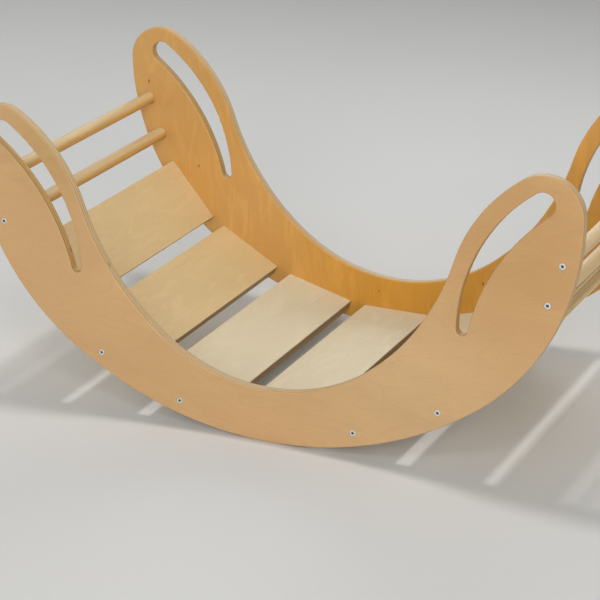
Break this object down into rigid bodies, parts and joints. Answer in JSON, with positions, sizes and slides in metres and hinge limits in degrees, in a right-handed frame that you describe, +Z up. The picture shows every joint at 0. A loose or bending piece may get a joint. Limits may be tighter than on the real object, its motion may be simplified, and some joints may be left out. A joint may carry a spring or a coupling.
{
  "type": "wooden balance rocker",
  "caption": "Wooden balance rocker: two crescent plywood sides with hand slots, joined by a row of flat slats that follows the curved base and by round rungs at both ends.",
  "frame": {"origin": "on the floor under the middle of the rocker, which is the middle of the box's bottom face", "axes": "+X along the rocker from the left end to the right one, +Y from the front side panel to the rear one, +Z up from the floor that the curved base rocks on"},
  "size_m": [1, 0.511, 0.4838],
  "materials": {
    "birch_plywood": "satin lacquer",
    "birch_slat": "satin lacquer",
    "beech_rung": "satin lacquer",
    "zinc_plated_steel": "satin"
  },
  "bodies": {
    "root": {"side_panel_front": "birch_plywood", "side_panel_rear": "birch_plywood", "slat_1": "birch_slat", "slat_2": "birch_slat", "slat_3": "birch_slat", "slat_4": "birch_slat", "slat_5": "birch_slat", "slat_6": "birch_slat", "slat_7": "birch_slat", "rung_left_upper": "beech_rung", "rung_left_lower": "beech_rung", "rung_right_upper": "beech_rung", "rung_right_lower": "beech_rung", "screw_front_1": "zinc_plated_steel", "screw_front_2": "zinc_plated_steel", "screw_front_3": "zinc_plated_steel", "screw_front_4": "zinc_plated_steel", "screw_front_5": "zinc_plated_steel", "screw_front_6": "zinc_plated_steel", "screw_front_7": "zinc_plated_steel", "screw_front_8": "zinc_plated_steel", "screw_rear_1": "zinc_plated_steel", "screw_rear_2": "zinc_plated_steel", "screw_rear_3": "zinc_plated_steel", "screw_rear_4": "zinc_plated_steel", "screw_rear_5": "zinc_plated_steel", "screw_rear_6": "zinc_plated_steel", "screw_rear_7": "zinc_plated_steel", "screw_rear_8": "zinc_plated_steel"}
  },
  "joints": []
}
